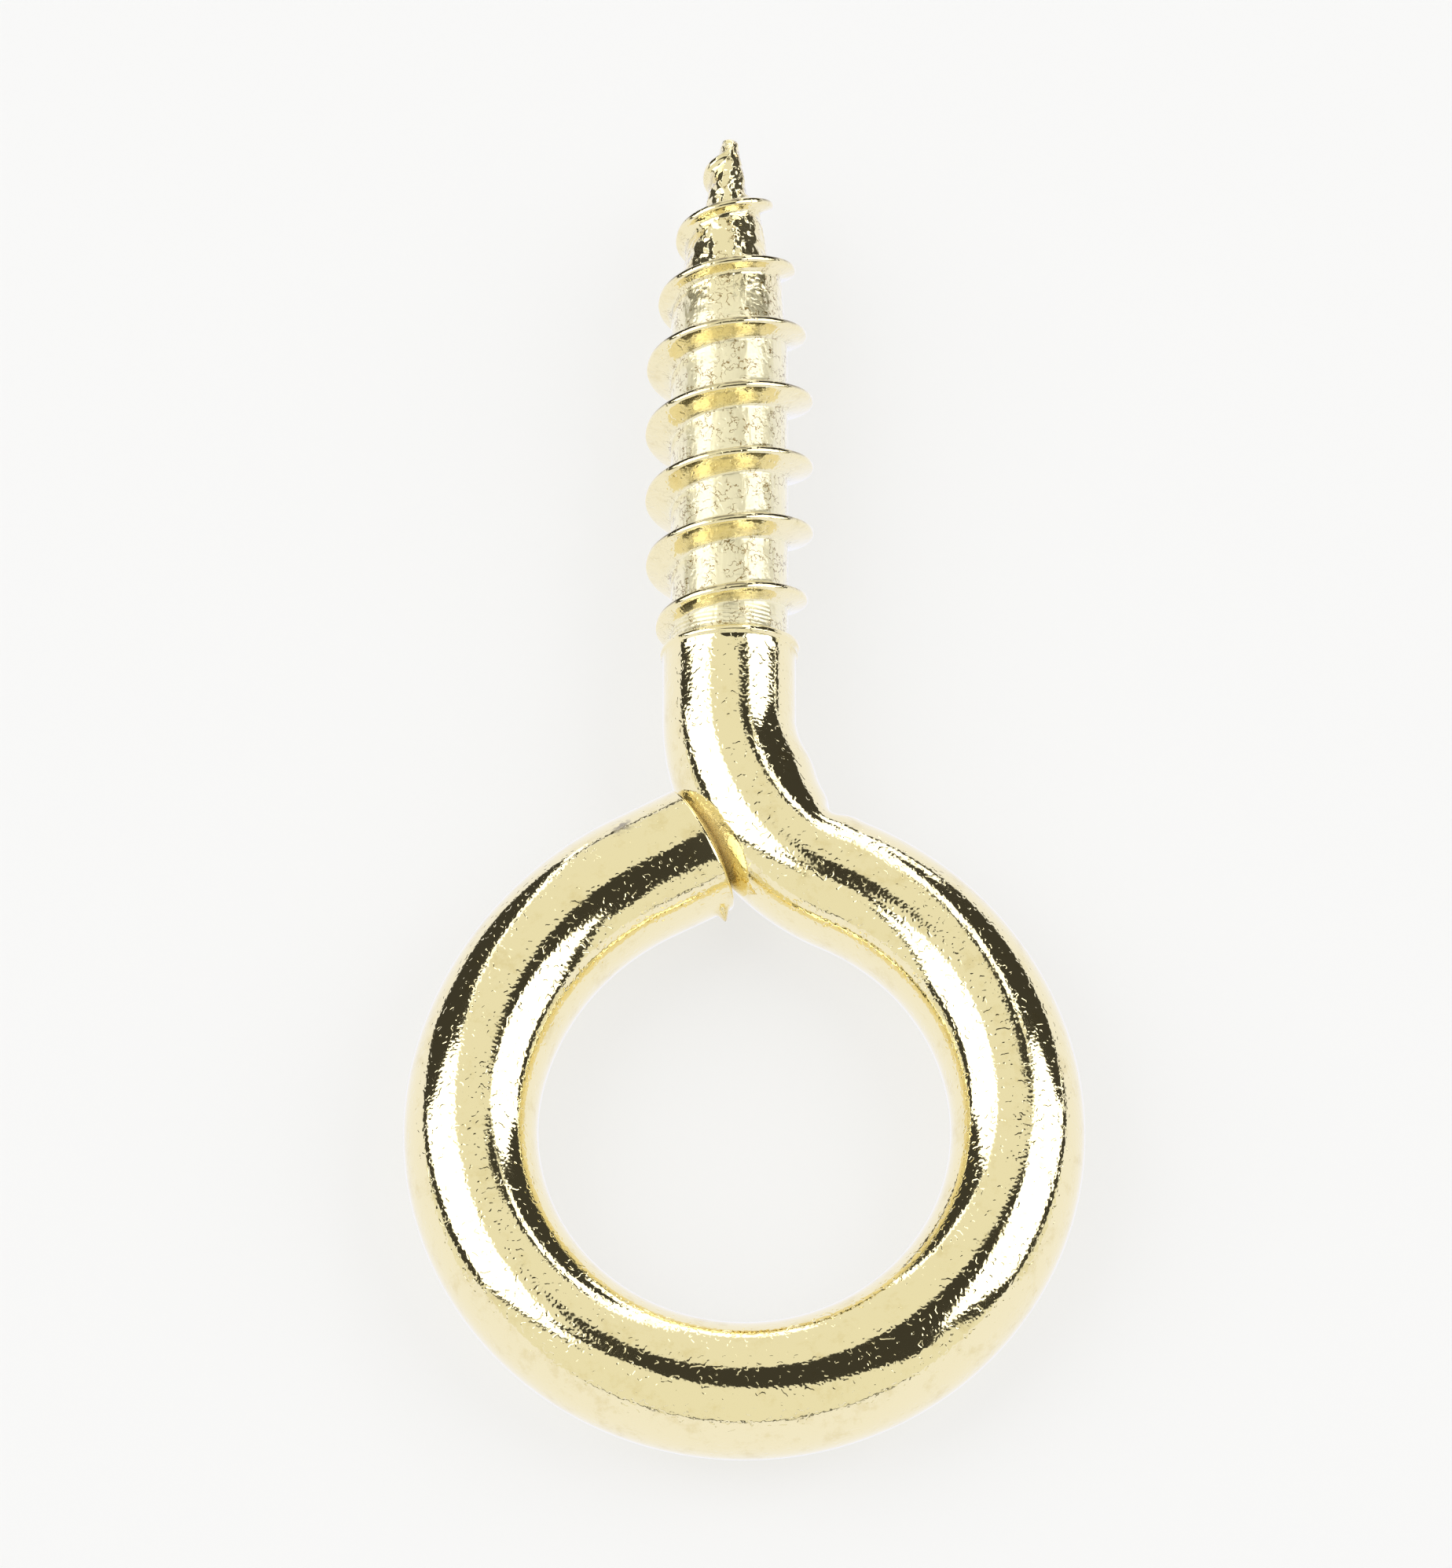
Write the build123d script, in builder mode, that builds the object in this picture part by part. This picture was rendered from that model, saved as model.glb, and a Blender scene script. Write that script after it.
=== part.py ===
from build123d import *
from math import ceil, cos, pi, radians, sin, tan
import os

# Screw eye: one length of plated wire, bent round into an eye and threaded to a gimlet point.
# The eye lies in the XY plane with its centre at the origin. The shank runs along +Y to the point, and the
# thickness of the wire is along Z, so the part lies flat, as it comes to rest on a table. Sizes are in mm.

# Wire
wire_diameter = 2.67

# Bends on the centre-line of the wire: the eye, how much wider its two upper sides run, and the neck
eye_bend_radius = 5.40
neck_side_easing = 0.31
free_side_easing = 0.88
neck_bend_radius = 3.89

# Angles of the bends, in degrees: where the free side leaves the eye, and how far each side turns
free_side_start_angle = 168.0
free_side_angle = 51.0
neck_angle = 66.0

# Sheared end of the wire, which butts against the neck
end_gap = 0.03
end_edge_chamfer = 0.05

# Plain shank, shoulder, core and point
plain_shank_length = 1.48
shoulder_length = 0.12
core_diameter = 2.36
core_length = 7.20
point_length = 4.05
point_diameter = 0.32
point_chamfer_share = 0.5

# Thread: a thin fin wound right-handed round the core
thread_pitch = 1.45
thread_start_angle = 286.6
crest_diameter = 3.40
crest_width = 0.14
flank_angle = 20.5
root_radius_share = 0.8

# Lengths over which the fin grows out of the shank and sinks into the point
runout_overlap = 0.95
runout_length = 2.90
crest_taper_length = 5.20
last_turn_length = 1.50
last_turn_diameter = 1.86
fin_stop_length = 0.30
sections_per_loft = 8


def radius_along(stations, y):
    """Radius at a place along the shank, on straight lines between stations of (place, radius)."""
    for (y_from, radius_from), (y_to, radius_to) in zip(stations, stations[1:]):
        if y <= y_to:
            return radius_from + (radius_to - radius_from) * (y - y_from) / (y_to - y_from)
    return stations[-1][1]


wire_radius = wire_diameter / 2
core_radius = core_diameter / 2
crest_radius = crest_diameter / 2
point_radius = point_diameter / 2

with BuildPart() as screw_eye:
    # Wire, from its sheared end round the eye and through the neck to the straight shank
    with BuildLine() as wire_path:
        eye = CenterArc((0, 0), eye_bend_radius, free_side_start_angle, 360 - free_side_start_angle)
        neck_side = JernArc(eye @ 1, eye % 1, eye_bend_radius + neck_side_easing, neck_angle)
        neck = JernArc(neck_side @ 1, neck_side % 1, neck_bend_radius, -neck_angle)
        free_side = JernArc(eye @ 0, -(eye % 0), eye_bend_radius + free_side_easing, -free_side_angle)
        heading = free_side % 1
        neck_centre = neck @ 1 + Vector(neck_bend_radius, 0)
        reach = (neck_centre - free_side @ 1).dot(heading)
        free_length = reach - neck_bend_radius - wire_radius - end_gap
        free_arm = Line(free_side @ 1, free_side @ 1 + heading * free_length)
    with BuildSketch(Plane(free_arm @ 1, z_dir=-heading)):
        Circle(wire_radius)
    sweep(path=wire_path.wire())
    end_face = screw_eye.faces().filter_by(GeomType.PLANE).sort_by_distance(free_arm @ 1)[0]
    chamfer(end_face.edges(), end_edge_chamfer)

    # Plain shank, shoulder, core and point, turned about the axis of the shank
    shank_start = neck @ 1
    shoulder_y = shank_start.Y + plain_shank_length
    core_y = shoulder_y + shoulder_length
    point_base_y = core_y + core_length
    point_y = point_base_y + point_length
    core_stations = [(core_y, core_radius), (point_base_y, core_radius), (point_y, point_radius)]
    with BuildSketch(Plane((shank_start.X, 0, 0))):
        with BuildLine():
            Polyline(
                (0, shank_start.Y),
                (wire_radius, shank_start.Y),
                (wire_radius, shoulder_y),
                *[(radius, y) for y, radius in core_stations],
                (0, point_y),
                close=True,
            )
        make_face()
    revolve(axis=Axis(shank_start, (0, 1, 0)))
    chamfer(screw_eye.edges().sort_by(Axis.Y)[-1], point_radius * point_chamfer_share)

    # Thread fin, lofted through its own section a turn at a time, from the run-out to the point
    fin_start_y = shoulder_y - runout_overlap
    fin_end_y = point_y - fin_stop_length
    fin_stations = [
        (fin_start_y, core_radius),
        (fin_start_y + runout_length, crest_radius),
        (point_y - crest_taper_length, crest_radius),
        (point_y - last_turn_length, last_turn_diameter / 2),
        (fin_end_y, radius_along(core_stations, fin_end_y) * root_radius_share),
    ]
    fin_turns = (fin_end_y - fin_start_y) / thread_pitch
    loft_count = ceil(fin_turns)
    for loft_index in range(loft_count):
        for section in range(sections_per_loft + 1):
            turn = fin_turns * (loft_index + section / sections_per_loft) / loft_count
            fin_y = fin_start_y + turn * thread_pitch
            angle = radians(thread_start_angle) + 2 * pi * turn
            outward = Vector(sin(angle), 0, cos(angle))
            around = Vector(cos(angle), 0, -sin(angle))
            crest = radius_along(fin_stations, fin_y)
            root = min(crest, radius_along(core_stations, fin_y)) * root_radius_share
            root_width = crest_width + 2 * (crest - root) * tan(radians(flank_angle))
            with BuildSketch(Plane((shank_start.X, fin_y, 0), x_dir=outward, z_dir=around)):
                with BuildLine():
                    Polyline(
                        (root, -root_width / 2),
                        (crest, -crest_width / 2),
                        (crest, crest_width / 2),
                        (root, root_width / 2),
                        close=True,
                    )
                make_face()
        loft()

screw_eye.part.label = "screw_eye"
os.makedirs("parts", exist_ok=True)
export_step(screw_eye.part, "parts/screw_eye.step")
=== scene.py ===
"""Screw eye of brass-plated wire: bent eye, plain shank, coarse thread and gimlet point, on a pale floor."""

import math

import bmesh
import bpy
import numpy as np
from bpy.props import FloatProperty, FloatVectorProperty, IntProperty, PointerProperty
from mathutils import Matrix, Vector


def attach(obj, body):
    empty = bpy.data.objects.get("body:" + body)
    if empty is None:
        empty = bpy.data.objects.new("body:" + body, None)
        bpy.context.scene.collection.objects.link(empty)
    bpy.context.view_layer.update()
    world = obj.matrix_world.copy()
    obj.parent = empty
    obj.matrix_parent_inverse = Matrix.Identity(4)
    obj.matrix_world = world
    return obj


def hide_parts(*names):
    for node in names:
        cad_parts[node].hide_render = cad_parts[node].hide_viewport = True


bl_info = {
    "name": "Screw Eye",
    "version": (1, 0, 0),
    "blender": (4, 5, 0),
    "location": "View3D > Sidebar > Screw Eye",
    "description": "Builds a brass-plated screw eye and the studio that it lies in",
    "category": "Add Mesh",
}

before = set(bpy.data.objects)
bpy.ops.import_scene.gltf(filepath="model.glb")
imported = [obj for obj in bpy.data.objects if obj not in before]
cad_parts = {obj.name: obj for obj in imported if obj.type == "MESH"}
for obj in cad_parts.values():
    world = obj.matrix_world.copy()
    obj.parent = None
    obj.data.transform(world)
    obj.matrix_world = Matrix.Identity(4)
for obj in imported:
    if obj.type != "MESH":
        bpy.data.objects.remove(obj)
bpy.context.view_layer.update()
MM = 0.001
NODE = "screw_eye"


def linear(hex_colour):
    """Linear colour of an sRGB hex value, by the sRGB curve."""
    channels = np.array([int(hex_colour[i : i + 2], 16) for i in (1, 3, 5)]) / 255
    curve = np.where(channels <= 0.04045, channels / 12.92, ((channels + 0.055) / 1.055) ** 2.4)
    return tuple(curve.tolist())


def length(name, description, millimetres):
    """A length property, given in millimetres and kept in metres."""
    return FloatProperty(
        name=name,
        description=description,
        default=millimetres * MM,
        unit="LENGTH",
        subtype="DISTANCE",
        precision=5,
    )


def angle(name, description, degrees):
    """An angle property, given in degrees and kept in radians."""
    return FloatProperty(
        name=name, description=description, default=math.radians(degrees), unit="ROTATION", subtype="ANGLE"
    )


def number(name, description, value):
    """A property that is a plain number and never negative."""
    return FloatProperty(name=name, description=description, default=value, min=0)


def colour(name, description, hex_colour):
    """A colour property, given as an sRGB hex value."""
    return FloatVectorProperty(
        name=name, description=description, default=linear(hex_colour), subtype="COLOR", size=3, min=0, max=1
    )


class ScrewEyeWire(bpy.types.PropertyGroup):
    """Sizes of the bent wire."""

    diameter: length("Wire", "Diameter of the wire", 2.666)
    eye_radius: length("Eye", "Bend radius of the eye, on the centre-line", 5.40)
    neck_side_radius: length("Neck side", "Bend radius of the eye on the side of the neck", 5.71)
    free_side_radius: length("Free side", "Bend radius of the eye on the side of the free end", 6.28)
    neck_radius: length("Neck", "Bend radius of the neck, on the centre-line", 3.89)
    eye_turn: angle("Eye turn", "How far the wire turns in the eye", 192)
    neck_turn: angle("Neck turn", "How far the wire turns on the neck side, and back again in the neck", 66)
    free_side_turn: angle("Free side turn", "How far the wire turns on the free side", 51)
    free_arm: length("Free arm", "Straight wire at the free end", 1.27)
    end_rounding: length("End rounding", "Rounding on the rim of the sheared end", 0.05)
    end_gap: length("End gap", "Gap between the middle of the sheared end and the neck", 0.03)
    end_reach: length("End reach", "How far the top of the sheared end stands out", 0.03)
    end_dome: number("End dome", "How steeply the end swells to its middle", 0.36)
    end_skew: number("End skew", "How far the end is skewed to the eye", 0.03)
    crown_shift: length("Crown shift", "How far the top of the wire leans in over the eye", 0.055)
    burr: length("Burr", "How far the burr on the sheared end stands out into the eye", 0.25)
    neck_bulge: length("Neck bulge", "How far the squeezed side of the neck swells", 0.14)
    neck_crease: length("Neck crease", "How deep the crease is under that swelling", 0.27)
    around: IntProperty(name="Around", description="Faces round the wire", default=128, min=16)


class ScrewEyeThread(bpy.types.PropertyGroup):
    """Sizes of the thread and the point."""

    pitch: length("Pitch", "Length of one turn of the thread", 1.45)
    phase: length("Phase", "Place along the shank of a crest that faces up", 12.4955)
    shoulder: length("Shoulder", "Place along the shank where the plain wire ends", 10.25)
    core_start: length("Core start", "Place along the shank where the core begins", 10.37)
    point: length("Point", "Place along the shank of the tip of the point", 21.62)
    core_diameter: length("Core", "Diameter of the core between the crests", 2.36)
    crest_diameter: length("Crest", "Diameter over the crests", 3.398)
    crest_width: length("Crest width", "Width of the flat crest of the thread", 0.13)
    crest_rounding: length("Crest rounding", "Softness of the edges of the crest", 0.012)
    collar: length("Collar", "How far the end of the plain wire is upset", 0.03)
    flank: angle("Flank", "Lean of each flank of the thread", 20.5)
    core_slope: number("Core slope", "Taper of each turn, as a share of the point's", 0.5)
    root: length("Root fillet", "Softness of the corner between the flank and the core", 0.035)


class ScrewEyeFinish(bpy.types.PropertyGroup):
    """Look of the plating."""

    brass: colour("Brass", "Colour of the clean plating", "#F8EBB8")
    worn_brass: colour("Worn brass", "Colour of the plating where it is thin", "#EEDEA4")
    core_brass: colour("Core brass", "Colour of the paler plating on the core", "#FAF2CC")
    joint_brass: colour("Joint brass", "Colour of the thick plating between the end and the neck", "#F5E2A8")
    crack: colour("Crack", "Colour of the cracks in the plating", "#957A38")
    # Painted dark reflection along the upper edge of the crest
    painted_dark_reflection: colour("Rubbed", "Colour of the rubbed edge of the crest", "#54421F")
    scuff: colour("Scuff", "Colour of the dull grey scuff on the free arm", "#A89C80")
    roughness: number("Roughness", "Roughness of the clean plating", 0.05)
    core_roughness: number("Core roughness", "Roughness of the core", 0.3)
    dull_roughness: number("Dull roughness", "Roughness of the scuff and the joint", 0.32)
    frost: number("Frost", "Share of light that frosted plate scatters", 0.44)
    joint_frost: number("Joint frost", "Share of light that the joint scatters", 0.75)
    lacquer_ior: number("Lacquer IOR", "Index of refraction of the lacquer", 1.7)
    peel: length("Peel", "Width of the orange peel in the plating", 0.065)
    peel_depth: length("Peel depth", "Depth of the orange peel", 0.0019)
    pit: length("Pit", "Distance between the pits in the plating", 0.1)
    pit_depth: length("Pit depth", "Depth of the pits", 0.0035)
    crumple: length("Crumple", "Width of the dents in the core", 0.13)
    crumple_depth: length("Crumple depth", "Depth of the dents in the core", 0.014)
    line: length("Line", "Distance between the turned lines at the start of the thread", 0.09)
    line_depth: length("Line depth", "Depth of those lines", 0.006)
    tip_depth: length("Tip depth", "Depth of the dents in the point", 0.13)


class ScrewEyeStudio(bpy.types.PropertyGroup):
    """The floor, the lamps and the camera."""

    paper: colour("Paper", "Colour of the floor", "#F8F8F8")
    ground: colour("Ground", "Colour of the cool white studio below the part", "#EDEEF8")
    ground_glow: number("Ground glow", "Brightness of the studio below the part", 1.12)
    ceiling: colour("Ceiling", "Colour of the studio overhead", "#F0EFE6")
    cloth: colour("Cloth", "Colour of the black cloth", "#3F3D38")
    softbox: number("Softbox", "Brightness of each softbox, where 1 is white", 2.25)
    board: number("Board", "Brightness of the white boards, where 1 is white", 2.0)
    shadow: number("Shadow", "How deep the shadow on the floor is", 0.3)
    elevation: angle("Elevation", "Height of the camera above the floor", 68)
    distance: length("Distance", "From the camera to the point that it looks at", 240)
    focal_length: number("Focal length", "Of the lens, in mm", 275.9)


# Points closer than the first distance, in metres, are merged, and edges shorter than the second are removed
MERGE_DISTANCE = 2e-7
SLIVER_LENGTH = 1e-8


def new_mesh(name, points, faces, marks=None):
    """A mesh object of points, in mm, and faces, with coincident points merged and every face smooth.

    The marks of each point, for the core, the painted dark reflection on the crest edges and the joint,
    become an attribute.
    """
    mesh = bpy.data.meshes.new(name)
    mesh.from_pydata((points * MM).reshape(-1, 3), [], faces.tolist())
    if marks is not None:
        mesh.attributes.new("marks", "FLOAT_VECTOR", "POINT").data.foreach_set("vector", marks.ravel())
    shape = bmesh.new()
    shape.from_mesh(mesh)
    bmesh.ops.remove_doubles(shape, verts=shape.verts, dist=MERGE_DISTANCE)
    bmesh.ops.dissolve_degenerate(shape, edges=shape.edges, dist=SLIVER_LENGTH)
    shape.to_mesh(mesh)
    shape.free()
    mesh.polygons.foreach_set("use_smooth", np.ones(len(mesh.polygons), bool))
    mesh.update()
    piece = bpy.data.objects.new(name, mesh)
    bpy.context.collection.objects.link(piece)
    return piece


def ring_faces(rows, columns, first):
    """Quads of a grid that closes on itself along its columns, numbered from the first point."""
    row, column = np.meshgrid(np.arange(rows - 1), np.arange(columns), indexing="ij")
    after = (column + 1) % columns
    low, high = row * columns, (row + 1) * columns
    return first + np.stack([low + column, low + after, high + after, high + column], -1).reshape(-1, 4)


# Points on the centre-line of the wire
LINE_POINTS = 20001


def wire_line(wire):
    """Centre-line of the wire, from its free end to the shank, as (length along it, x, y, heading, ends).

    Each bend has one curvature. The heading is the running sum of curvature times length, and the place is
    the running sum of the heading's direction. The eye and the neck side meet on the +X axis. The ends are
    the lengths at which the free arm, the free side, the eye, the neck side and the neck begin, and at
    which the neck ends.
    """
    bends = [wire.free_side_radius, wire.eye_radius, wire.neck_side_radius, -wire.neck_radius]
    turns = np.array([wire.free_side_turn, wire.eye_turn, wire.neck_turn, -wire.neck_turn])
    ends = np.concatenate([[0], np.cumsum([wire.free_arm / MM, *(turns * np.array(bends) / MM)])])
    headings = np.concatenate([[0, 0], np.cumsum(turns)])
    along = np.linspace(0, ends[-1], LINE_POINTS)
    heading = math.pi / 2 + np.interp(along, ends, headings) - headings[-1]
    step = np.stack([np.cos(heading), np.sin(heading)], 1)
    place = np.concatenate([[[0, 0]], np.cumsum((step[1:] + step[:-1]) / 2, 0) * along[1]])
    meeting = np.array([np.interp(ends[3], along, place[:, i]) for i in (0, 1)])
    x, y = (place - meeting + [wire.eye_radius / MM, 0]).T
    return along, x, y, heading, ends


# Rows on the rim of the end, on the end's length in mm, round the eye and in the neck
RIM_ROWS, END_ROWS, EYE_ROWS, NECK_ROWS = 7, 24, 240, 90
END_LENGTH = 0.9
# Rings on the flat of the sheared end, as shares of its radius
END_RINGS = np.array([0, 0.3, 0.6, 0.8, 0.92])
# Length in mm over which the shape of the sheared end fades out, and how far it keeps clear of the neck
END_FADE = 0.8
END_CLEARANCE = 0.01
# Middle and width of the burr, along the wire in mm and round it in radians
BURR_PLACE, BURR_LENGTH = 0.24, 0.1
BURR_ANGLE, BURR_SPREAD = 4.72, 0.14
# Middle and width of the neck's swelling and crease, and where they start, in degrees round its bend
BULGE_BEND, BULGE_SPREAD = 22, 12
CREASE_BEND, CREASE_SPREAD, CREASE_FAR_SPREAD = 50, 6.0, 4.5
NECK_START = 5
# Length in mm before the neck that they may reach
NECK_BEFORE = 1
# Radius in mm of the thick plating in the joint, and how sharply it ends
JOINT_RADIUS, JOINT_POWER = 0.95, 12


def bell(value, middle, width):
    """Bell curve: e to the power of minus the square of the distance from the middle, in widths."""
    return np.exp(-(((value - middle) / width) ** 2))


def wire_surface(wire, turn_angles):
    """Points of the bent wire: a circle carried along the centre-line, square to it.

    Its radius follows a quarter circle at the rim of the sheared end, which is closed by rings on its flat
    face. On the squeezed side of the neck a swelling and a narrow crease are added, as two bell curves of
    the angle round the bend, and they fade with the fourth power of the sine round the wire. The top of the
    wire leans in over the eye: the points shift in step with their height. The sheared end is skewed,
    swells to its middle, and is dented where it meets the round of the neck: its reach is the smaller of a
    shallow cone and the room that is left. The burr is a bell curve both along and round the wire. The
    marks of each point are returned too: none for the core and its edges, and for the joint, how near the
    point is to where the end and the neck touch, or how far it is up the burr.
    """
    along, x, y, heading, ends = wire_line(wire)
    radius, rounding = wire.diameter / MM / 2, wire.end_rounding / MM
    rim = np.linspace(0, math.pi / 2, RIM_ROWS)
    flat = END_RINGS * (radius - rounding)
    near = np.linspace(rounding, END_LENGTH, END_ROWS)[1:]
    plain = np.concatenate([near, np.linspace(END_LENGTH, ends[4], EYE_ROWS)[1:]])
    neck = np.linspace(ends[4], ends[5], NECK_ROWS)[1:]
    station = np.concatenate([np.zeros(len(flat)), rounding * (1 - np.cos(rim)), plain, neck])
    rim_radii = radius - rounding + rounding * np.sin(rim)
    radii = np.concatenate([flat, rim_radii, np.full(len(plain) + len(neck), radius)])
    bend = np.degrees((ends[5] - station) / (wire.neck_radius / MM))
    in_neck = (station > ends[4] - NECK_BEFORE) * np.clip(bend / NECK_START, 0, 1)
    crease_spread = np.where(bend < CREASE_BEND, CREASE_SPREAD, CREASE_FAR_SPREAD)
    crease = wire.neck_crease / MM * bell(bend, CREASE_BEND, crease_spread)
    swelling = in_neck * (wire.neck_bulge / MM * bell(bend, BULGE_BEND, BULGE_SPREAD) - crease)
    squeezed = np.clip(np.sin(turn_angles), 0, 1) ** 4
    burr = bell(station, BURR_PLACE, BURR_LENGTH) * (station > 0)
    burr = burr[:, None] * bell(turn_angles, BURR_ANGLE, BURR_SPREAD)
    out = radii[:, None] + swelling[:, None] * squeezed + wire.burr / MM * burr
    across, up = out * np.sin(turn_angles), out * np.cos(turn_angles)
    # The lean is half as much at the sheared end, and fades out before the neck
    lean = wire.crown_shift / MM * np.interp(station, [0, 1, ends[3], ends[4]], [0.5, 1, 1, 0])
    across = across - lean[:, None] * up / radius
    sag = radius - np.sqrt(np.clip(radius**2 - up**2, 0, None))
    sag = sag + across**2 / 2 / (wire.neck_radius / MM + radius)
    reach = wire.end_reach / MM - wire.end_skew * across + wire.end_dome * (radius - np.hypot(across, up))
    reach = np.minimum(reach, wire.end_gap / MM - END_CLEARANCE + sag)
    reach = reach * np.clip(1 - station / END_FADE, 0, 1)[:, None]
    flat_z = np.zeros(len(station))
    centre = np.stack([np.interp(station, along, x), np.interp(station, along, y), flat_z], 1)
    way = np.interp(station, along, heading)
    side = np.stack([np.sin(way), -np.cos(way), flat_z], 1)
    ahead = np.stack([np.cos(way), np.sin(way), flat_z], 1)
    bent = centre[:, None] + across[..., None] * side[:, None] - reach[..., None] * ahead[:, None]
    bent = bent + up[..., None] * np.array([0, 0, 1])
    touch = centre[0] - wire.end_gap / MM * ahead[0]
    distance = np.linalg.norm(bent - touch, axis=-1)
    joint = np.maximum(burr, 1 / (1 + (distance / JOINT_RADIUS) ** JOINT_POWER))
    return bent, np.stack([0 * joint, 0 * joint, joint], -1)


# The last turn crowds up against the shank: below this place, its places are squeezed by this much
RUNOUT_FROM = 11.4
RUNOUT_SQUEEZE = 0.2


def squeezed_place(helix):
    """Place along the shank of a place on an even helix: a parabola closes up the turn next to the shank."""
    below = np.clip(RUNOUT_FROM - helix, 0, 0.5 / RUNOUT_SQUEEZE)
    return np.where(helix < RUNOUT_FROM, RUNOUT_FROM - below + RUNOUT_SQUEEZE * below**2, helix)


def even_place(place):
    """Place on an even helix of a place along the shank: the inverse of squeezed_place."""
    below = np.clip(RUNOUT_FROM - place, 0, 0.25 / RUNOUT_SQUEEZE)
    return np.where(
        place < RUNOUT_FROM,
        RUNOUT_FROM - (1 - np.sqrt(1 - 4 * RUNOUT_SQUEEZE * below)) / (2 * RUNOUT_SQUEEZE),
        place,
    )


# Core on the point: distances back from the tip, in mm, and the radius at each of them after the first
POINT_BACK = np.array([4.3, 3.3, 2.06, 1.15, 0.23, 0.07, 0])
POINT_RADII = [1.04, 0.66, 0.37, 0.19, 0.13, 0]
# Distances back from the tip where the core begins to taper in steps, does so in full, and ends again
STEPS_BACK = np.array([4.5, 4, 1.5, 0.5])
# Crest: places along the shank and radii, in mm, where it grows out of the shank and sinks into the point
GROWING_PLACES, GROWING_RADII = [10.34, 10.8, 11.415], [1.40, 1.485, 1.58]
FULL_PLACES = [12.24, 16.3]
SINKING_PLACES = [17.35, 17.91, 18.68, 19.4, 20.12, 20.97, 21.3]
SINKING_RADII = [1.546, 1.446, 1.342, 1.08, 0.9, 0.45, 0.2]
# Length in mm of the fin before the shoulder, and the length at the tip over which it fades out
FIN_OVERLAP = 0.1
FIN_FADE = 0.2
# Largest softness of the root as a share of the core's radius, and a floor that keeps it above nothing
ROOT_SHARE, ROOT_LEAST = 0.12, 1e-6
# Distance of the collar before the shoulder, and its width, in mm
COLLAR_BACK, COLLAR_WIDTH = 0.04, 0.1


def thread_radius(wire, thread, turn_angles, place):
    """Radius of the shank, in mm, at an angle round it and a place along it.

    The core follows straight lines from the shoulder to the point, and on the point it tapers in steps, one
    for each turn: there its place is drawn towards the middle between two crests. The fin is the crest
    radius less the distance from the nearest crest beyond half its width, softened, over the tangent of the
    flank angle. The larger of the two is taken, through a soft maximum that leaves a fillet at the root. A
    low bell curve at the shoulder is the upset end of the wire. How far the fin stands above the core is
    returned too.
    """
    wire_radius, core = wire.diameter / MM / 2, thread.core_diameter / MM / 2
    crest, pitch = thread.crest_diameter / MM / 2, thread.pitch / MM
    point, shoulder = thread.point / MM, thread.shoulder / MM
    core_places = [shoulder, thread.core_start / MM, *(point - POINT_BACK)]
    core_radii = [wire_radius, core, core, *POINT_RADII]
    crest_places = [shoulder - FIN_OVERLAP, *GROWING_PLACES, *FULL_PLACES, *SINKING_PLACES]
    crest_radii = [wire_radius, *GROWING_RADII, crest, crest, *SINKING_RADII]
    helix = even_place(place)
    turns = (helix - thread.phase / MM) / pitch - turn_angles / (2 * math.pi)
    middle = place + (np.floor(turns) + 0.5 - turns) * pitch
    slope = np.interp(place, point - STEPS_BACK, [1, thread.core_slope, thread.core_slope, 1])
    base = np.interp(middle + slope * (place - middle), core_places, core_radii)
    offset = (turns - np.round(turns)) * pitch
    crest_place = squeezed_place(helix - offset)
    distance = np.abs(place - crest_place)
    height = np.interp(crest_place, crest_places, crest_radii)
    rounding, half = thread.crest_rounding / MM, thread.crest_width / MM / 2
    beyond = rounding * (np.logaddexp(0, (distance - half) / rounding) - np.logaddexp(0, -half / rounding))
    fin = np.where(place < shoulder - FIN_OVERLAP, 0, height - beyond / math.tan(thread.flank))
    softness = np.minimum(thread.root / MM, ROOT_SHARE * base + ROOT_LEAST)
    rise = softness * np.logaddexp(0, (fin - base) / softness) * np.clip((point - place) / FIN_FADE, 0, 1)
    collar = thread.collar / MM * bell(place, shoulder - COLLAR_BACK, COLLAR_WIDTH)
    return base + collar + rise, rise


def shank_points(axis_x, out, turn_angles, place):
    """Points at a radius, an angle and a place round the axis of the shank."""
    place = np.broadcast_to(place, out.shape)
    return np.stack([axis_x + out * np.sin(turn_angles), place, out * np.cos(turn_angles)], -1)


# Rows on the plain shank, and on the shoulder, which starts this far before its corner, in mm
SHANK_ROWS, SHOULDER_ROWS = 12, 25
SHOULDER_BACK = 0.2


def shank_surface(wire, thread, turn_angles):
    """Points of the plain shank and its shoulder: the thread's radius on rings square to the axis."""
    _, x, y, _, _ = wire_line(wire)
    corner = thread.shoulder / MM - SHOULDER_BACK
    plain = np.linspace(y[-1], corner, SHANK_ROWS)
    place = np.concatenate([plain, np.linspace(corner, thread.core_start / MM, SHOULDER_ROWS)[1:]])[:, None]
    out, _ = thread_radius(wire, thread, turn_angles, place)
    return shank_points(x[-1], out, turn_angles, place)


# Rows across one turn of the thread, as shares of the pitch from the crest, close at every corner
ROW_SHARES = np.array(
    [0, 0.02, 0.036, 0.044, 0.052, 0.065, 0.09, 0.12, 0.15, 0.17, 0.19, 0.21, 0.235, 0.27, 0.32, 0.38, 0.44]
)
# Whole turns of rows that are laid before the phase and past the point, so that none is missing
TURNS_BEFORE, TURNS_AFTER = 4, 3
# Middle and width in mm of the painted dark reflection past the middle of the crest, and the height of a fin
# that carries it
EDGE_PLACE, EDGE_WIDTH, EDGE_HEIGHT = 0.036, 0.024, 0.2
# Height in mm up the fin over which the mark of the core falls off, and the least that is left of it
CORE_HEIGHT, CORE_LEAST = 0.08, 0.08


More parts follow.
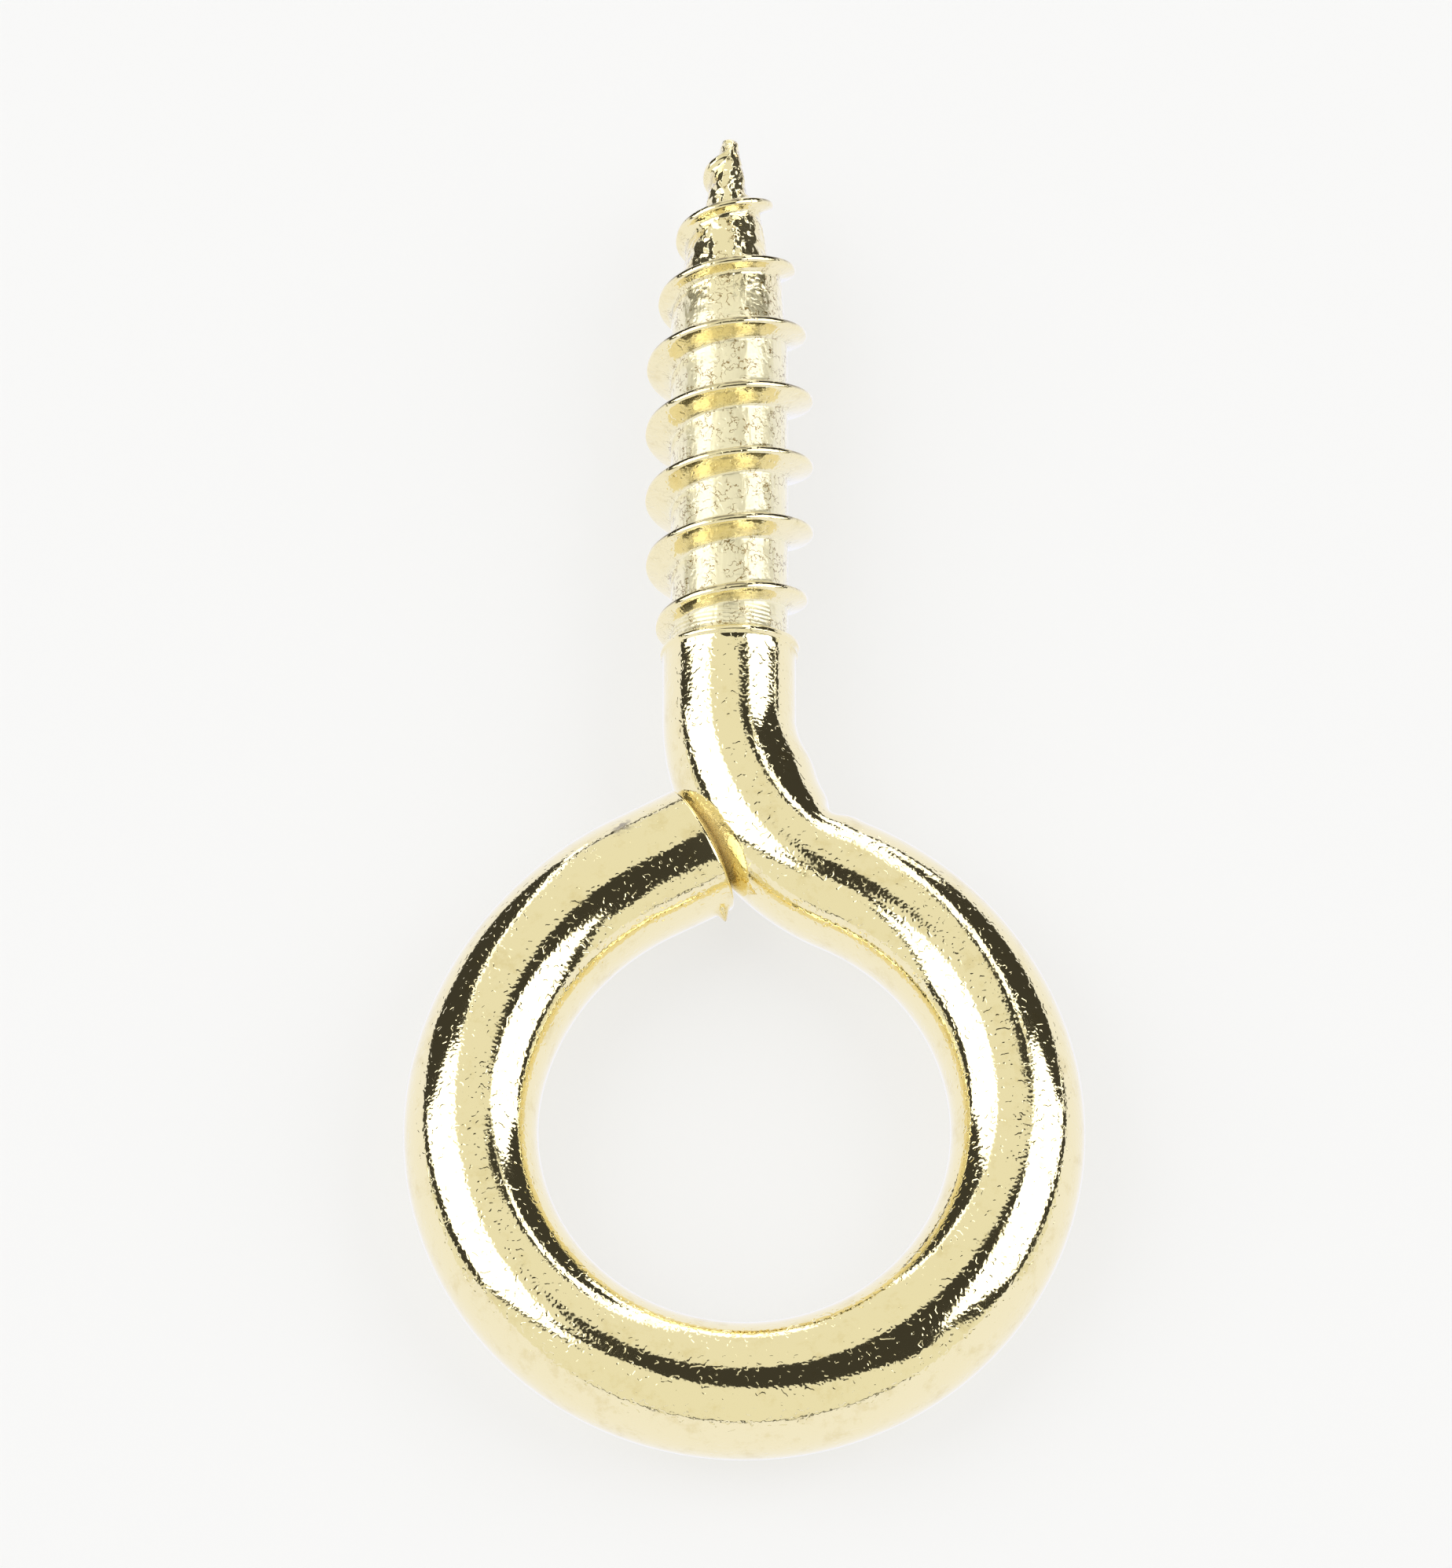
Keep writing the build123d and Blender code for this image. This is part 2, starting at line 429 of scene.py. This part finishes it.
def thread_surface(wire, thread, turn_angles):
    """Points and quads of the thread and the point, on rows that follow the helix.

    Each row keeps its share of the pitch from the crest as it turns, so after a full turn it meets the row
    one pitch further on. Rows stop at the start of the core and at the tip, where they gather into one ring
    and one point. The marks of each point are returned too: how much it belongs to the core, which falls
    off with the height of the fin, how much to the painted dark reflection on the half of the crest nearer
    the point, a narrow bell curve on the upper side, and none for the joint.
    """
    _, x, _, _, _ = wire_line(wire)
    columns = len(turn_angles)
    shares = np.concatenate([-ROW_SHARES[:0:-1], ROW_SHARES, [0.5]])
    pitch, phase, point = thread.pitch / MM, thread.phase / MM, thread.point / MM
    turns = np.arange(-TURNS_BEFORE, math.ceil((point - phase) / pitch) + TURNS_AFTER)
    row_turns = (turns[:, None] + shares).ravel()
    helix = phase + pitch * (row_turns[:, None] + turn_angles / (2 * math.pi))
    place = np.clip(squeezed_place(helix), thread.core_start / MM, point)
    out, rise = thread_radius(wire, thread, turn_angles, place)
    points = shank_points(x[-1], out, turn_angles, place)
    last = len(row_turns) - 1
    row, column = np.meshgrid(np.arange(last), np.arange(columns), indexing="ij")
    wrapped = column == columns - 1
    after = np.where(wrapped, 0, column + 1)
    low = np.minimum(row + len(shares) * wrapped, last) * columns
    high = np.minimum(row + 1 + len(shares) * wrapped, last) * columns
    corners = [row * columns + column, low + after, high + after, (row + 1) * columns + column]
    beyond = (np.tile(shares, len(turns)) * pitch)[:, None]
    # Painted dark reflection: a dark line along the crest edge, on the upper side only
    edge = bell(beyond, EDGE_PLACE, EDGE_WIDTH) * np.clip(rise / EDGE_HEIGHT - 0.5, 0, 1)
    edge = edge * np.clip(3 * np.cos(turn_angles) - 1, 0, 1)
    core = np.maximum(np.exp(-rise / CORE_HEIGHT), CORE_LEAST)
    return points, np.stack(corners, -1).reshape(-1, 4), np.stack([core, edge, 0 * core], -1)


def add_node(tree, kind, settings=None, **inputs):
    """Adds a node with its settings, and sets or links its inputs.

    An input is named by its label, with low lines for spaces, or by i and its number. A socket or a node's
    first output is linked to it, and any other value is set.
    """
    node = tree.nodes.new(kind)
    for name, value in (settings or {}).items():
        setattr(node, name, value)
    for name, value in inputs.items():
        numbered = name[0] == "i" and name[1:].isdigit()
        socket = node.inputs[int(name[1:]) if numbered else name.replace("_", " ")]
        if isinstance(value, bpy.types.Node):
            value = value.outputs[0]
        if isinstance(value, bpy.types.NodeSocket):
            tree.links.new(value, socket)
        else:
            socket.default_value = value
    return node


def new_tree(owner):
    """Empty node tree of a material or a world."""
    owner.use_nodes = True
    owner.node_tree.nodes.clear()
    return owner.node_tree


# Settings of the nodes that are used most
SOFT = {"interpolation_type": "SMOOTHSTEP"}
TIMES = {"operation": "MULTIPLY"}
LARGER = {"operation": "MAXIMUM"}
COLOURS = {"data_type": "RGBA"}
# Widths of the patches of thin plate, the blotches, the winding cracks and the slow wave in the wire
THIN_WIDTH, BLOTCH_WIDTH, CRACK_WIDTH, WAVE_WIDTH = 0.5 * MM, 0.3 * MM, 0.16 * MM, 0.7 * MM
WAVE_DEPTH = 0.004 * MM
# Middle of the dull scuff on the free arm, and the distances from it where it starts to fade and ends
SCUFF_PLACE = (-2.39 * MM, 6.06 * MM, 0.94 * MM)
SCUFF_INNER, SCUFF_OUTER = 0.1 * MM, 0.32 * MM
# Places along the shank where the turned lines and the frost fade out, and the point's dents grow
LINES_FROM, LINES_TO = 10.75 * MM, 11.05 * MM
FROST_FROM, FROST_TO = 17 * MM, 18.5 * MM
DENTS_FROM, DENTS_TO = 17 * MM, 20 * MM
# Radians of the wave texture for each unit of its scale
WAVE_RADIANS = 20


def brass_plate(finish):
    """Brass electroplate over drawn steel wire, bright-dipped and barrel-tumbled.

    It gives the eye a pale yellow mirror whose reflections break up into specks at their edges, because the
    thin plate follows the orange peel and the pits of the drawn wire. Clear lacquer over it whitens the
    sides that turn away.
    """
    material = bpy.data.materials.new("brass_electroplate_bright")
    tree = new_tree(material)
    place = add_node(tree, "ShaderNodeTexCoord").outputs["Object"]
    marks = add_node(tree, "ShaderNodeAttribute", {"attribute_name": "marks"}).outputs["Vector"]
    core, edge, joint = add_node(tree, "ShaderNodeSeparateXYZ", i0=marks).outputs
    along = add_node(tree, "ShaderNodeSeparateXYZ", i0=place).outputs[1]
    # Thin plate, in patches
    worn = add_node(tree, "ShaderNodeTexNoise", Vector=place, Scale=1 / THIN_WIDTH, Detail=4.0, Roughness=0.7)
    thin = add_node(tree, "ShaderNodeMapRange", SOFT, i0=worn, i1=0.5, i2=0.72)
    # Winding cracks on the core, and a painted dark reflection on the edge of the crest, both in broken
    # patches
    blotch = add_node(tree, "ShaderNodeTexNoise", Vector=place, Scale=1 / BLOTCH_WIDTH, Detail=1.0)
    patchy = add_node(tree, "ShaderNodeMapRange", SOFT, i0=blotch, i1=0.43, i2=0.55)
    winding = add_node(tree, "ShaderNodeTexNoise", Vector=place, Scale=1 / CRACK_WIDTH, Detail=3.0)
    cracks = add_node(tree, "ShaderNodeMath", {"operation": "COMPARE"}, i0=winding, i1=0.5, i2=0.019)
    cracks = add_node(tree, "ShaderNodeMath", TIMES, i0=cracks, i1=core)
    cracks = add_node(tree, "ShaderNodeMath", TIMES, i0=cracks, i1=patchy)
    # Painted dark reflection on the crest edge
    painted_dark_reflection = add_node(tree, "ShaderNodeMapRange", SOFT, i0=blotch, i1=0.4, i2=0.5, i3=0.45)
    painted_dark_reflection = add_node(tree, "ShaderNodeMath", TIMES, i0=painted_dark_reflection, i1=edge)
    # Dull scuff on the free arm
    away = add_node(tree, "ShaderNodeVectorMath", {"operation": "DISTANCE"}, i0=place, i1=SCUFF_PLACE)
    away = away.outputs["Value"]
    near = add_node(tree, "ShaderNodeMapRange", SOFT, i0=away, i1=SCUFF_INNER, i2=SCUFF_OUTER, i3=1.0, i4=0.0)
    scuffed = add_node(tree, "ShaderNodeMapRange", SOFT, i0=winding, i1=0.42, i2=0.6)
    scuffed = add_node(tree, "ShaderNodeMath", TIMES, i0=near, i1=scuffed)
    # Paler, frosted plate on the core, which ends before the bright point
    bright = add_node(tree, "ShaderNodeMapRange", i0=along, i1=FROST_FROM, i2=FROST_TO, i3=1.0, i4=0.1)
    frosted = add_node(tree, "ShaderNodeMath", TIMES, i0=core, i1=bright)
    layers = (
        (thin, finish.worn_brass),
        (frosted, finish.core_brass),
        (joint, finish.joint_brass),
        (cracks, finish.crack),
        (painted_dark_reflection, finish.painted_dark_reflection),
        (scuffed, finish.scuff),
    )
    tint = (*finish.brass, 1)
    for amount, shade in layers:
        tint = add_node(tree, "ShaderNodeMix", COLOURS, i0=amount, i6=tint, i7=(*shade, 1)).outputs[2]
    # Thin plate is rougher, and the frosted core and the joint scatter part of the light
    roughness = add_node(tree, "ShaderNodeMapRange", i0=worn, i1=0.35, i2=0.75)
    roughness.inputs[3].default_value = finish.roughness * 0.8
    roughness.inputs[4].default_value = finish.roughness * 2
    dull = add_node(tree, "ShaderNodeMath", LARGER, i0=joint, i1=scuffed)
    for amount, value in ((frosted, finish.core_roughness), (dull, finish.dull_roughness)):
        roughness = add_node(tree, "ShaderNodeMix", i0=amount, i2=roughness, i3=value)
    metallic = add_node(tree, "ShaderNodeMix", i0=frosted, i2=1.0, i3=1 - finish.frost)
    metallic = add_node(tree, "ShaderNodeMix", i0=joint, i2=metallic, i3=1 - finish.joint_frost)
    # Orange peel, pits, and the crumpled core, which is rougher towards the point
    peel = add_node(tree, "ShaderNodeTexNoise", Vector=place, Scale=1 / finish.peel, Detail=0.0)
    pits = add_node(tree, "ShaderNodeTexNoise", Vector=place, Scale=1 / finish.pit, Detail=0.0)
    pits = add_node(tree, "ShaderNodeMapRange", SOFT, i0=pits, i1=0.63, i2=0.79, i3=1.0, i4=0.0)
    stretched = add_node(tree, "ShaderNodeMapping", Vector=place, Scale=(1, 0.3, 1))
    crumple = add_node(tree, "ShaderNodeTexNoise", Vector=stretched, Scale=1 / finish.crumple, Detail=1.0)
    crumple = add_node(tree, "ShaderNodeMath", TIMES, i0=crumple, i1=core)
    tip = add_node(tree, "ShaderNodeMapRange", i0=along, i1=DENTS_FROM, i2=DENTS_TO)
    tip = add_node(tree, "ShaderNodeMath", TIMES, i0=tip, i1=core)
    tip = add_node(tree, "ShaderNodeMath", TIMES, i0=tip, i1=blotch)
    # Turned lines between the shoulder and the first crest
    turned = add_node(tree, "ShaderNodeTexWave", {"bands_direction": "Y"}, Vector=place, Distortion=1.5)
    turned.inputs["Scale"].default_value = 2 * math.pi / WAVE_RADIANS / finish.line
    start = add_node(tree, "ShaderNodeMapRange", SOFT, i0=along, i1=LINES_FROM, i2=LINES_TO, i3=1.0, i4=0.0)
    turned = add_node(tree, "ShaderNodeMath", TIMES, i0=turned.outputs["Fac"], i1=start)
    turned = add_node(tree, "ShaderNodeMath", TIMES, i0=turned, i1=core)
    wave = add_node(tree, "ShaderNodeTexNoise", Vector=place, Scale=1 / WAVE_WIDTH, Detail=1.0)
    relief = add_node(tree, "ShaderNodeBump", Distance=WAVE_DEPTH, Height=wave)
    heights = (
        (peel, finish.peel_depth),
        (pits, finish.pit_depth),
        (crumple, finish.crumple_depth),
        (tip, finish.tip_depth),
        (turned, finish.line_depth),
    )
    for height, depth in heights:
        relief = add_node(tree, "ShaderNodeBump", Distance=depth, Height=height, Normal=relief)
    shader = add_node(
        tree,
        "ShaderNodeBsdfPrincipled",
        Base_Color=tint,
        Metallic=metallic,
        Roughness=roughness,
        Normal=relief,
        Coat_Weight=1.0,
        Coat_Roughness=0.05,
        Coat_IOR=finish.lacquer_ior,
        Coat_Normal=relief,
    )
    add_node(tree, "ShaderNodeOutputMaterial", Surface=shader)
    return material


def plain_glow(name, shade, strength):
    """A surface of one even brightness: the cloth and boards round the part, to be mirrored in it."""
    material = bpy.data.materials.new(name)
    tree = new_tree(material)
    glow = add_node(tree, "ShaderNodeEmission", Color=(*shade, 1), Strength=strength)
    add_node(tree, "ShaderNodeOutputMaterial", Surface=glow)
    return material


def matt_paper(studio):
    """Matt white paper, which gives the eye a soft shadow: part of what is seen is its own even colour."""
    material = bpy.data.materials.new("paper_matt")
    tree = new_tree(material)
    path = add_node(tree, "ShaderNodeLightPath").outputs
    seen = add_node(tree, "ShaderNodeMath", i0=path["Is Camera Ray"], i1=path["Is Glossy Ray"])
    seen = add_node(tree, "ShaderNodeMath", {"use_clamp": True}, i0=seen, i1=path["Is Transmission Ray"])
    share = add_node(tree, "ShaderNodeMath", TIMES, i0=seen, i1=1 - studio.shadow)
    fibre = add_node(tree, "ShaderNodeBsdfDiffuse", Color=(*studio.paper, 1), Roughness=0.0)
    even = add_node(tree, "ShaderNodeEmission", Color=(*studio.paper, 1), Strength=1.0)
    mixed = add_node(tree, "ShaderNodeMixShader", i0=share, i1=fibre, i2=even)
    add_node(tree, "ShaderNodeOutputMaterial", Surface=mixed)
    return material


# What stands round the part: each panel's material, distance in mm and corners, in degrees right of and
# behind the point overhead, so that (0, 90) is level and behind
PANELS = {
    "softbox_left": (
        "softbox",
        500,
        [(-79, 40), (-34, 31), (-24, 10), (-21, -8), (-28, -18), (-63, -19), (-72, 6)],
    ),
    "softbox_right": (
        "softbox",
        500,
        [(81, 42), (37, 31), (24, 14), (22, 0), (27, -13), (34, -17), (68, -18), (76, 8)],
    ),
    "lip_left": (
        "cloth",
        480,
        [(-84, 41), (-79, 40), (-72, 6), (-63, -19), (-72, -23), (-82, 4)],
    ),
    "lip_right": (
        "cloth",
        480,
        [(86, 44), (81, 42), (76, 8), (68, -18), (34, -17), (36, -21), (60, -30), (72, -24), (84, 6)],
    ),
    "front_left_lip": (
        "cloth",
        480,
        [(-63, -19), (-28, -18), (-26, -20), (-62, -22)],
    ),
    "block_left": (
        "cloth",
        530,
        [(-79, 30), (-30, 22), (-37, 33), (-44, 50), (-41, 65), (-42, 92), (-62, 88), (-84, 62)],
    ),
    "block_right": (
        "cloth",
        530,
        [(80, 32), (30, 22), (35, 33), (31, 51), (26, 68), (26, 90), (50, 82), (75, 58)],
    ),
    "strip_left": (
        "board",
        510,
        [(-37, 33), (-44, 50), (-41, 65), (-42, 92), (-38, 92), (-36, 65), (-40, 50)],
    ),
    "strip_right": (
        "board",
        510,
        [(35, 33), (31, 51), (26, 68), (26, 92), (13, 92), (14, 66), (18, 50), (26, 33)],
    ),
    "boom_right": (
        "cloth",
        500,
        [(14, 24), (28, 22), (31, 26), (27, 37), (21, 52), (19, 52), (22, 38), (21, 30)],
    ),
    "camera_cloth": (
        "cloth",
        300,
        [(0, 15), (10, 15), (28, 17), (25, 10), (26, 0), (30, -12), (40, -28), (34, -32), (21, -26)]
        + [(4, -20), (-6, -15), (-14, -11), (-28, -11), (-27, -9), (-15, -4), (-13, 2), (-11, 8), (-5, 14)],
    ),
}

# Bands on a circle: each one's material, radius in mm, azimuths, and low and high elevation in degrees
BANDS = {
    "front_board": ("ground", 520, (195, 345), (-3, 15.5)),
    "front_gap": ("cloth", 520, (230, 312), (15.5, 17.2)),
    "back_board": ("board", 520, (62, 101), (0, 10)),
    "back_gap": ("cloth", 515, (98, 124), (-4, -0.5)),
}
BAND_FACES = 24

# Where the floor touches the eye and the thread, as (y, z) in mm, its clearance, and half its width
EYE_TOUCH, CREST_TOUCH = (-5.4, -1.335), (13.22, -1.7)
FLOOR_CLEARANCE = 0.004
FLOOR_HALF = 3000

# Height on the unit sphere at which the ground has given way to the ceiling
HORIZON = 0.03

# Point in mm that the camera looks at, and the width in mm of its sensor
CAMERA_TARGET = (-0.36, 7.42, 0)
SENSOR_WIDTH = 36


class BuildScrewEye(bpy.types.Operator):
    """Builds the plated wire with its eye, shank, thread and point as one closed surface"""

    bl_idname = "screw_eye.build_piece"
    bl_label = "Screw Eye"

    def execute(self, context):
        wire, thread = context.scene.screw_eye_wire, context.scene.screw_eye_thread
        turn_angles = np.arange(wire.around) * 2 * math.pi / wire.around
        bent, bent_marks = wire_surface(wire, turn_angles)
        shank = shank_surface(wire, thread, turn_angles)
        threaded, thread_faces, thread_marks = thread_surface(wire, thread, turn_angles)
        counts = np.cumsum([0, bent.size // 3, shank.size // 3])
        points = np.concatenate([part.reshape(-1, 3) for part in (bent, shank, threaded)])
        faces = [
            ring_faces(len(bent), wire.around, counts[0]),
            ring_faces(len(shank), wire.around, counts[1]),
            thread_faces + counts[2],
        ]
        marks = np.concatenate([part.reshape(-1, 3) for part in (bent_marks, 0 * shank, thread_marks)])
        piece = new_mesh("screw_eye_plated", points, np.concatenate(faces), marks)
        if not self.closed(piece):
            raise RuntimeError("the screw eye is not a closed surface")
        piece.data.materials.append(brass_plate(context.scene.screw_eye_finish))
        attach(piece, "root")
        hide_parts(NODE)
        return {"FINISHED"}

    @staticmethod
    def closed(piece):
        """Whether every edge of the piece lies between two faces."""
        shape = bmesh.new()
        shape.from_mesh(piece.data)
        found = all(len(edge.link_faces) == 2 for edge in shape.edges)
        shape.free()
        return found


class BuildStudio(bpy.types.Operator):
    """Builds the floor, the soft light, the dark surround and the camera"""

    bl_idname = "screw_eye.build_studio"
    bl_label = "Studio"

    def execute(self, context):
        studio = context.scene.screw_eye_studio
        self.floor(studio)
        self.surround(studio)
        self.world(studio)
        self.camera(studio)
        context.scene.view_settings.view_transform = "Standard"
        return {"FINISHED"}

    def floor(self, studio):
        """A flat sheet of paper that touches the eye and the thread: it falls 1.12 degrees along +Y."""
        (eye_y, eye_z), (crest_y, crest_z) = EYE_TOUCH, CREST_TOUCH
        slope = (crest_z - eye_z) / (crest_y - eye_y)
        x, y = FLOOR_HALF * np.array([[-1, 1, 1, -1], [-1, -1, 1, 1]])
        points = np.stack([x, y, eye_z - FLOOR_CLEARANCE + slope * (y - eye_y)], -1)
        floor = new_mesh("floor_paper", points, np.arange(4)[None])
        floor.data.materials.append(matt_paper(studio))
        # The plating mirrors the even studio below in place of the shaded paper
        floor.visible_glossy = False

    def surround(self, studio):
        """Softboxes, boards and cloth round the part, which the camera doesn't see but the plating mirrors.

        A panel's corners are directions carried out to one plane. A band is a strip of quads on a circle.
        """
        materials = {
            "softbox": plain_glow("softbox_diffuser", (1, 1, 1), studio.softbox),
            "board": plain_glow("white_board", (1, 1, 1), studio.board),
            "ground": plain_glow("pale_board", studio.ground, studio.ground_glow),
            "cloth": plain_glow("black_cloth", studio.cloth, 1.0),
        }
        for name, (material, distance, corners) in PANELS.items():
            right, behind = np.radians(corners).T
            away, turn = np.hypot(right, behind), np.arctan2(behind, right)
            way = np.stack([np.sin(away) * np.cos(turn), np.sin(away) * np.sin(turn), np.cos(away)], -1)
            facing = way.mean(0) / np.linalg.norm(way.mean(0))
            points = distance * way / (way @ facing)[:, None]
            self.hang(new_mesh(name, points, np.arange(len(corners))[None]), materials[material])
        for name, (material, radius, azimuths, heights) in BANDS.items():
            turn = np.radians(np.linspace(*azimuths, BAND_FACES + 1))
            height = np.tan(np.radians(heights))[:, None]
            points = radius * np.stack(np.broadcast_arrays(np.cos(turn), np.sin(turn), height), -1)
            first = np.arange(BAND_FACES)
            above = first + BAND_FACES + 1
            faces = np.stack([first, first + 1, above + 1, above], -1)
            self.hang(new_mesh(name, points, faces), materials[material])

    def hang(self, piece, material):
        """Keeps a piece of the studio out of the camera's sight."""
        piece.data.materials.append(material)
        piece.visible_camera = False

    def world(self, studio):
        """Plain pale studio all round: cool white below the part, and the ceiling's colour above it."""
        world = bpy.data.worlds.new("studio")
        bpy.context.scene.world = world
        tree = new_tree(world)
        way = add_node(tree, "ShaderNodeTexCoord").outputs["Generated"]
        height = add_node(tree, "ShaderNodeSeparateXYZ", i0=way).outputs[2]
        share = add_node(tree, "ShaderNodeMapRange", SOFT, i0=height, i1=0.0, i2=HORIZON)
        shade = add_node(tree, "ShaderNodeMix", COLOURS, i0=share)
        shade.inputs[6].default_value = (*(studio.ground_glow * part for part in studio.ground), 1)
        shade.inputs[7].default_value = (*studio.ceiling, 1)
        background = add_node(tree, "ShaderNodeBackground", Color=shade.outputs[2], Strength=1.0)
        add_node(tree, "ShaderNodeOutputWorld", Surface=background)

    def camera(self, studio):
        """Looks along +Y and down on the middle of the part, from the far side of the eye."""
        lens = bpy.data.cameras.new("camera")
        lens.lens, lens.sensor_width = studio.focal_length, SENSOR_WIDTH
        lens.clip_start, lens.clip_end = 0.01, 10
        camera = bpy.data.objects.new("camera", lens)
        bpy.context.collection.objects.link(camera)
        back = Vector((0, -math.cos(studio.elevation), math.sin(studio.elevation)))
        camera.location = Vector(CAMERA_TARGET) * MM + back * studio.distance
        camera.rotation_euler = (math.pi / 2 - studio.elevation, 0, 0)
        bpy.context.scene.camera = camera


class ScrewEyePanel(bpy.types.Panel):
    """Lists the sizes, the finish and the steps of the screw eye"""

    bl_idname = "VIEW3D_PT_screw_eye"
    bl_label = "Screw Eye"
    bl_space_type = "VIEW_3D"
    bl_region_type = "UI"
    bl_category = "Screw Eye"

    def draw(self, context):
        for name in GROUPS:
            box = self.layout.box()
            group = getattr(context.scene, name)
            for prop in type(group).__annotations__:
                box.prop(group, prop)
        self.layout.operator(BuildScrewEye.bl_idname)
        self.layout.operator(BuildStudio.bl_idname)


GROUPS = {
    "screw_eye_wire": ScrewEyeWire,
    "screw_eye_thread": ScrewEyeThread,
    "screw_eye_finish": ScrewEyeFinish,
    "screw_eye_studio": ScrewEyeStudio,
}
CLASSES = (*GROUPS.values(), BuildScrewEye, BuildStudio, ScrewEyePanel)


def register():
    for kind in CLASSES:
        bpy.utils.register_class(kind)
    for name, group in GROUPS.items():
        setattr(bpy.types.Scene, name, PointerProperty(type=group))


def unregister():
    for name in GROUPS:
        delattr(bpy.types.Scene, name)
    for kind in reversed(CLASSES):
        bpy.utils.unregister_class(kind)


def main():
    register()
    bpy.ops.screw_eye.build_piece()
    bpy.ops.screw_eye.build_studio()


if __name__ == "__main__":
    main()
